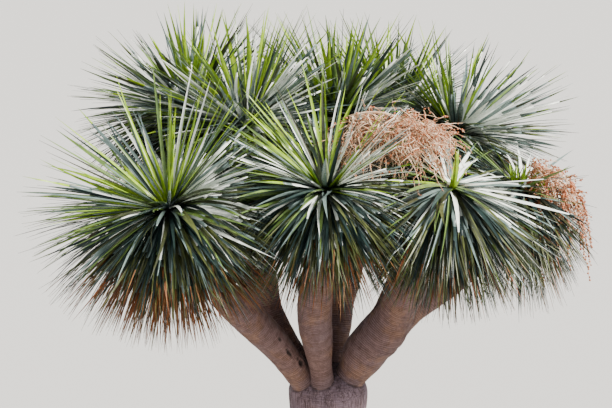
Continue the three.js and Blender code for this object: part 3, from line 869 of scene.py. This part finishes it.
def stripKinds(lowered, glare, slope, facing, rosette, numbers):
    # colours along each leaf: a painted glare, near-white or the dimmer slate, as far as it shines and
    # doesn't hang, less often where it points forwards, with a slate strip where the glare ends; slate
    # grey, a painted sky light, at the base of a low one and greener where its end is in the light, a
    # painted light;
    # one that hangs dies back from its tip
    count, strips = slope.shape
    outward = np.clip(-facing[:, 0], 0, 1)
    kinds = pickKinds(lowered, numbers.random(count), outward, rosette["young"])
    forward = smoothStep((-0.55 - facing[:, 1]) / 0.35)
    along = np.arange(strips)[None, :]
    colours = np.repeat(kinds[:, None], strips, axis=1)
    shine = leaf["shine"] * np.interp(lowered, leaf["shineAt"], leaf["shineBy"])
    shine = shine * rosette["sunlit"] * (1 - 0.55 * outward) + leaf["glare"] * glare
    shines = numbers.random(count) < shine * (1 - 0.5 * forward)
    glareReach = np.where(shines, numbers.integers(3, strips + 1, count), 0)
    level = slope > (-0.4 - 0.4 * glare)[:, None]
    greyTo = np.where(numbers.random(count) < leaf["greyBases"] * (lowered > 0.45), 3, 0)
    # some low leaves get a slate base, the blue-grey of painted sky light
    colours = np.where(along < greyTo[:, None], kindOf["skySheenSlate"], colours)
    glareStrips = (along < glareReach[:, None]) & level
    # the strip after a painted glare is slate, a dimmer painted glare
    fading = ~glareStrips & np.roll(glareStrips, 1, axis=1) & (along > 0)
    colours = np.where(fading, kindOf["skySheenSlate"], colours)
    # some painted glares are the dimmer slate rather than near-white
    dull = numbers.random(count) < leaf["greyShine"]
    sheen = np.where(dull, kindOf["skySheenSlate"], kindOf["paintedGlare"])
    # the painted glare goes on the level strips it reaches
    colours = np.where(glareStrips, sheen[:, None], colours)
    lit = numbers.random(count) < leaf["litTips"] * np.clip((lowered - 0.3) * 5, 0, 1)
    litFrom = np.where(lit, numbers.integers(2, strips, count), strips)
    green = np.where(lowered - 0.2 * outward < 0.42, kindOf["fresh"], kindOf["olive"])
    colours = np.where(along >= litFrom[:, None], green[:, None], colours)
    chance = np.interp(lowered, (0.60, 0.70, 0.82), (0.0, 0.45, 0.85))
    dying = numbers.random(count) < chance * rosette["dying"]
    dead = np.where(numbers.random(count) < 0.4, kindOf["straw"], kindOf["rust"])
    deadAt = np.where(dying, strips - numbers.integers(1, 3, count) - (lowered > 0.7), strips)
    return np.where(along >= deadAt[:, None], dead[:, None], colours)


def dealBlades(sections, colours, blades):
    # each run of one colour along a leaf becomes a closed blade of that colour's piece
    strips = colours.shape[1]
    changes = np.ones((len(colours), strips + 1), dtype=bool)
    changes[:, 1:-1] = colours[:, 1:] != colours[:, :-1]
    for first in range(strips):
        for last in range(first + 1, strips + 1):
            run = changes[:, first] & changes[:, last] & ~changes[:, first + 1:last].any(axis=1)
            for kind, number in kindOf.items():
                chosen = run & (colours[:, first] == number)
                if chosen.any():
                    blades[kind].append(bladeShape(sections[chosen][:, first:last + 1]))


def growRosette(name, seed, blades):
    # leaves in golden-angle order from the youngest at the apex to the oldest at the foot
    rosette = rosettes[name]
    numbers = np.random.default_rng(seed)
    count = rosette["leaves"]
    age = ((np.arange(count) + 0.5) / count) ** rosette["crowding"]
    turn = np.arange(count) * goldenAngle + (numbers.random(count) - 0.5) * leaf["turnSpread"]
    size = leaf["youngest"] + (1 - leaf["youngest"]) * smoothStep(age * leaf["settling"])
    size = size * (1 + (leaf["oldest"] - 1) * smoothStep(age * 2 - 1))
    size = size * (1 - leaf["lengthSpread"] * numbers.random(count) ** 1.6)
    chance = numbers.normal(0, 1, (3, count)).clip(-2.2, 2.2)
    normals, limits = spaceOf(name)
    for _ in range(10):
        root, knee, tip, edge = leafRibs(rosette, age, turn, size, chance)
        outside = ((tip @ normals.T) > limits).any(axis=1)
        size = np.where(outside & (size > leaf["shortest"]), size * 0.9, size)
    outer = bentLine(root, knee, tip, np.linspace(0.25, 1, 8)[None, :, None])
    keep = ~outside & ~meetsLimb(outer)
    facing = unit(tip - root)
    # 0 for a leaf that stands upright, 1 for an old one that hangs
    lowered = 0.85 * np.arccos(facing[:, 2]) / math.pi + 0.15 * age
    spread = 1 + leaf["widthSpread"] * numbers.normal(0, 1, count).clip(-2, 2)
    # how far a leaf lies level and points to the right, where its upper side throws light back
    glare = np.clip(facing @ [1.0, 0.35, 0.0], 0, 1)
    glare = glare * np.clip(1.4 - 1.4 * np.abs(facing[:, 2] - 0.12), 0, 1)
    width = np.interp(lowered, (0.2, 0.45, 0.7), leaf["widths"]) * spread * np.clip(size * 1.3, 0.6, 1)
    width = width * (1 + leaf["broader"] * glare)
    width = width * np.interp(lowered, (0.25, 0.4), (rosette["upright"], 1.0))
    taper = np.interp(lowered, (0.3, 0.6), leaf["taper"])
    twist = leaf["twist"] * numbers.normal(0, 1, count)
    sections = leafSections(root, knee, tip, edge, width, taper, twist)
    slope = unit(np.diff(sections[:, :, 1], axis=1))[..., 2]
    colours = stripKinds(lowered, glare, slope, facing, rosette, numbers)
    dealBlades(sections[keep], colours[keep], blades)
    return int(keep.sum())


usualShoot = {"out": 0.034, "lean": 0.60, "leaves": 16, "width": 0.016}
shoots = {
    "right_front": [{"side": -1.5, "lean": 0.02, "leaves": 3, "reach": 0.240, "width": 0.030}],
    "right_outer": [
        {"side": -1.9, "out": 0.030, "lean": 0.35, "reach": 0.150},
        {"side": -0.6, "reach": 0.170},
        {"side": -2.8, "leaves": 14, "reach": 0.130, "width": 0.015},
    ],
}
shootLook = {
    "belowApex": 0.022,
    "opened": (0.10, 0.75),
    "firstTurn": 0.4,
    "shortening": 0.35,
    "rootRing": 0.004,
    "bendOut": 0.25,
    "twist": 0.2,
}


def growShoot(rosette, plan, blades):
    # a small tuft on the head's shoulder, its leaves opening a little further one by one
    axis = rosette["axis"]
    outward = spokes(axis, plan["side"])
    foot = rosette["apex"] - axis * shootLook["belowApex"] + outward * plan["out"]
    stem = unit(axis + outward * plan["lean"])
    side = unit(np.cross(stem, [0.2, 1.0, 0.1]))
    i = np.arange(plan["leaves"])
    opened = shootLook["opened"][0] + shootLook["opened"][1] * i / max(plan["leaves"], 12)
    turn = i * goldenAngle + shootLook["firstTurn"]
    around = turned(side, np.cross(stem, side), turn[:, None])
    heading = turned(stem, around, opened[:, None])
    length = plan["reach"] * (1 - shootLook["shortening"] * i / plan["leaves"])[:, None]
    root = foot + around * shootLook["rootRing"]
    knee = root + heading * length * 0.5
    tip = knee + unit(heading + around * shootLook["bendOut"]) * length * 0.5
    edge = unit(np.cross(stem, around))
    width, taper = np.full(len(i), plan["width"]), np.full(len(i), leaf["taper"][0])
    sections = leafSections(root, knee, tip, edge, width, taper, shootLook["twist"] * np.sin(turn))
    blades["youngAndBacklit"].append(bladeShape(sections))


def sharpenMargins(piece):
    # the two margins of each blade stay crisp between its upper and its under side
    mesh = piece.data
    ends = np.empty(len(mesh.edges) * 2, dtype=np.int32)
    mesh.edges.foreach_get("vertices", ends)
    role = ends.reshape(-1, 2) % 4
    margin = (role[:, 0] == role[:, 1]) & (role[:, 0] % 2 == 0)
    mesh.edges.foreach_set("use_edge_sharp", margin)


def headShape(rosette):
    # a blunt stem end scaled over with old leaf bases, and drawn out into a spear of unopened
    # leaves where the rosette hasn't flowered
    axis = rosette["axis"]
    outline = head["radii"] + ([] if rosette["opens"] else head["spear"])
    share = np.linspace(0, outline[-1][0], head["rows"])[:, None]
    radius = np.interp(share, *zip(*outline))
    turn = wholeTurn(head["columns"])
    around, along = turn * head["scalesAround"], share * head["scalesAlong"]
    scale = np.abs(np.sin(around + along)) * np.abs(np.sin(around - along))
    wide = radius * (0.94 + 0.07 * scale)
    centre = rosette["foot"] + axis * head["length"] * share
    return closedTube(centre[:, None] + spokes(axis, turn[..., None]) * wide[..., None])


def growFoliage(side, names):
    # the leaves of several rosettes as one piece a colour, and their stem ends
    blades = {kind: [] for kind in leafLooks}
    kept = 0
    for name in names:
        kept += growRosette(name, 40 + list(rosettes).index(name), blades)
        for plan in shoots.get(name, []):
            growShoot(rosettes[name], {**usualShoot, **plan}, blades)
    nodes = ["rosette_" + name for name in names]
    for kind, shapes in blades.items():
        piece = addPiece(f"leaves_{kind}_{side}", joined(shapes), leafMaterials[kind], nodes)
        sharpenMargins(piece)
        print(piece.name, "triangles:", len(piece.data.polygons) * 2)
    stems = joined([headShape(rosettes[name]) for name in names])
    addPiece("leaf_bases_" + side, stems, stemMaterial, nodes)
    print("leaves grown:", kept)


growFoliage("front", ["left_front", "centre_front", "right_front", "right_outer"])
growFoliage("rear", ["mid_left", "left_back", "centre_back", "mid_right", "right_back", "back"])


fruit = {
    "belowApex": 0.045,
    "stalkRadius": 0.009,
    "branchRadius": 0.0036,
    "twigRadius": 0.0019,
    "twigSpread": 2.5,
    "curl": 0.027,
    "berryRadius": 0.0044,
    "beadGrowth": 1.25,
    "beadPitch": 0.34,
    "berrySizes": (0.6, 1.15),
    "scatter": 0.0022,
    "twigHang": (0.3, 1.6),
    "stringFan": 0.28,
    "stringHang": 0.95,
    "stringCurl": 0.012,
}


def arcPoints(start, heading, length, hang, curl=fruit["curl"], stations=7):
    # start + heading length t - up hang length t^2 + side curl sin(2 pi (t + shift)), where the
    # side and the shift differ from arc to arc
    t = np.linspace(0, 1, stations)[None, :, None]
    side = unit(np.cross(heading, [0.31, 0.27, 0.91]))[:, None]
    shift = (np.arange(len(start)) * 0.37 % 1)[:, None, None]
    swing = curl * (np.sin(2 * math.pi * (t + shift)) - np.sin(2 * math.pi * shift))
    away = heading[:, None] * length[:, None, None] * t
    return start[:, None] + away - upward * (hang * length)[:, None, None] * t ** 2 + side * swing


def twigShape(arcs, foot, tip):
    # four-sided tubes round many arcs, from the foot's radius to the tip's
    tangent = unit(np.gradient(arcs, axis=1))
    side = unit(np.cross(tangent, [0.37, 0.81, 0.45]))
    over = np.cross(tangent, side)
    radius = np.linspace(foot, tip, arcs.shape[1])[None, :, None]
    corners = [arcs + turned(side, over, quarter * math.pi / 2) * radius for quarter in range(4)]
    return bladeShape(np.stack(corners, 2))


def berryShape(places, radius):
    # an icosahedron of this radius at each place: twelve corners, three of which make a face
    # where all are one edge apart, turned to face outwards
    g = (1 + math.sqrt(5)) / 2
    corners = np.array([(0, a, b * g) for a in (-1, 1) for b in (-1, 1)])
    corners = np.concatenate([corners, np.roll(corners, 1, axis=1), np.roll(corners, 2, axis=1)])
    near = np.abs(np.linalg.norm(corners[:, None] - corners[None], axis=-1) - 2) < 1e-6
    a, b, c = np.nonzero(near[:, :, None] & near[None, :, :] & near[:, None, :])
    faces = np.stack([a, b, c], -1)[(a < b) & (b < c)]
    first, second, third = corners[faces.T]
    inward = (np.cross(second - first, third - first) * first).sum(axis=1) < 0
    faces[inward] = faces[inward][:, ::-1]
    vertices = (places[:, None] + unit(corners)[None] * radius[:, None, None]).reshape(-1, 3)
    triangles = (faces[None] + (np.arange(len(places)) * 12)[:, None, None]).reshape(-1, 3)
    return vertices, np.zeros((0, 4), dtype=int), triangles


def pointsOn(arcs, where):
    # places along each arc, counted in stations, by straight lines between the stations
    low = np.floor(where).astype(int).clip(0, arcs.shape[1] - 2)
    part = (where - low)[..., None]
    picked = np.arange(len(arcs))[:, None]
    return arcs[picked, low] * (1 - part) + arcs[picked, low + 1] * part


def growPanicle(name, plan, seed):
    # a stalk, branches round its upper part in golden-angle order, twigs with a few berries,
    # and long hanging strings beaded with them
    numbers = np.random.default_rng(seed)
    rosette = rosettes[plan["rosette"]]
    foot = rosette["apex"] - rosette["axis"] * fruit["belowApex"]
    bends = (np.array([place]) for place in (foot, plan["arch"], plan["end"]))
    stalk = bentLine(*bends, np.linspace(0, 1, 16)[None, :, None])
    i = np.arange(plan["branches"])
    height = 1 - 2 * (i + 0.5) / len(i)
    ring = np.sqrt(1 - height ** 2)
    aim = np.stack([ring * np.cos(i * goldenAngle), ring * np.sin(i * goldenAngle), height], -1)
    aim = unit(aim - upward * plan["droop"])
    along = plan["bareStalk"] + (1 - plan["bareStalk"]) * i / i[-1]
    start = pointsOn(stalk, along[None] * 15)[0]
    length = numbers.uniform(*plan["branchReach"], len(i))
    branches = arcPoints(start, aim, length, plan["hang"])
    shapes = [twigShape(stalk, fruit["stalkRadius"], fruit["stalkRadius"] * 0.6)]
    shapes.append(twigShape(branches, fruit["branchRadius"], fruit["twigRadius"]))
    owner = np.repeat(i, plan["twigs"])
    origin = pointsOn(branches[owner], numbers.uniform(1.0, 6, (len(owner), 1)))[:, 0]
    fan = (numbers.random((len(owner), 3)) - 0.5) * fruit["twigSpread"]
    fan = unit(fan + aim[owner] * 0.8 - upward * plan["droop"] / 2)
    length = numbers.uniform(*plan["twigReach"], len(owner))
    hang = plan["hang"] * numbers.uniform(*fruit["twigHang"], len(owner))
    twigs = arcPoints(origin, fan, length, hang)
    shapes.append(twigShape(twigs, fruit["twigRadius"], fruit["twigRadius"] * 0.6))
    places = pointsOn(twigs, numbers.uniform(1.5, 6, (len(owner), plan["berries"]))).reshape(-1, 3)
    grown = np.ones(len(places))
    if plan["strings"]:
        owner = np.arange(plan["strings"]) % len(i)
        fan = unit(aim[owner] * [1, 1, 0.3] + upward * 0.25 + numbers.normal(0, 0.2, (len(owner), 3)))
        length = numbers.uniform(*plan["stringReach"], len(owner))
        top, hang, curl = branches[owner, -1], fruit["stringHang"], fruit["stringCurl"]
        strings = arcPoints(top, fan * fruit["stringFan"], length, hang, curl, 12)
        shapes.append(twigShape(strings, fruit["twigRadius"], fruit["twigRadius"] * 0.7))
        beads = np.arange(1.0, 11.0, fruit["beadPitch"])[None].repeat(len(owner), 0)
        beaded = pointsOn(strings, beads).reshape(-1, 3)
        places = np.concatenate([places, beaded])
        grown = np.concatenate([grown, np.full(len(beaded), fruit["beadGrowth"])])
    places = places + numbers.normal(0, fruit["scatter"], places.shape)
    radius = fruit["berryRadius"] * grown * numbers.uniform(*fruit["berrySizes"], len(places))
    addPiece(name + "_twigs", joined(shapes), twigMaterial, [name])
    addPiece(name + "_berries", berryShape(places, radius), berryMaterial, [name])
    print(name, "twigs:", len(twigs), "berries:", len(places))


for k, (name, plan) in enumerate(panicles.items()):
    growPanicle(name, plan, 90 + k)


studio = {
    "floor": (0.52, 0.515, 0.50, 1),
    "floorReach": 60.0,
    "sky": (0.90, 0.94, 1.0, 1),
    "skyStrength": 0.40,
    "aim": (0, 0, 2.1),
}
lamps = {
    "key": ("SUN", (5.0, -1.0, 6.2), {"angle": 0.14, "energy": 15, "color": (1.0, 0.96, 0.90)}),
    "front": ("AREA", (-2.0, -6.6, 3.6), {"size": 5.0, "energy": 150, "color": (1.0, 0.98, 0.96)}),
}
# The photo is 612 pixels wide, seen by a lens 1555 of them long.
view = {
    "target": (-0.103, 0, 2.136),
    "distance": 7.0,
    "lookDown": 15,
    "lens": 1555 / 612,
    "clip": 200,
}


def point(thing, place, direction):
    thing.location = place
    thing.rotation_euler = direction.to_track_quat("-Z", "Y").to_euler()


def makeFloor():
    mesh = bpy.data.meshes.new("floor")
    corners = np.array([(-1, -1, 0), (1, -1, 0), (1, 1, 0), (-1, 1, 0)]) * studio["floorReach"]
    mesh.from_pydata(corners, [], [(0, 1, 2, 3)])
    material, _, surface = newMaterial("paleFloor")
    setInputs(surface, {"Base Color": studio["floor"], "Roughness": 0.9})
    mesh.materials.append(material)
    addToScene("floor", mesh)


def makeLights():
    # a broad sky, a high key to the right and a little in front, and a wide soft front light
    world = bpy.data.worlds.new("softSky")
    world.use_nodes = True
    sky = {"Color": studio["sky"], "Strength": studio["skyStrength"]}
    setInputs(world.node_tree.nodes["Background"], sky)
    bpy.context.scene.world = world
    for name, (kind, place, settings) in lamps.items():
        lamp = bpy.data.lights.new(name, kind)
        setAll(lamp, settings)
        point(addToScene(name, lamp), place, Vector(studio["aim"]) - Vector(place))


def makeCamera():
    # far enough from a point in the crown, looking down at it, as the photo was taken
    down = math.radians(view["lookDown"])
    forward = Vector((0, math.cos(down), -math.sin(down)))
    data = bpy.data.cameras.new("camera")
    data.lens = view["lens"] * data.sensor_width
    data.clip_end = view["clip"]
    camera = addToScene("camera", data)
    point(camera, Vector(view["target"]) - forward * view["distance"], forward)
    bpy.context.scene.camera = camera


makeFloor()
makeLights()
makeCamera()
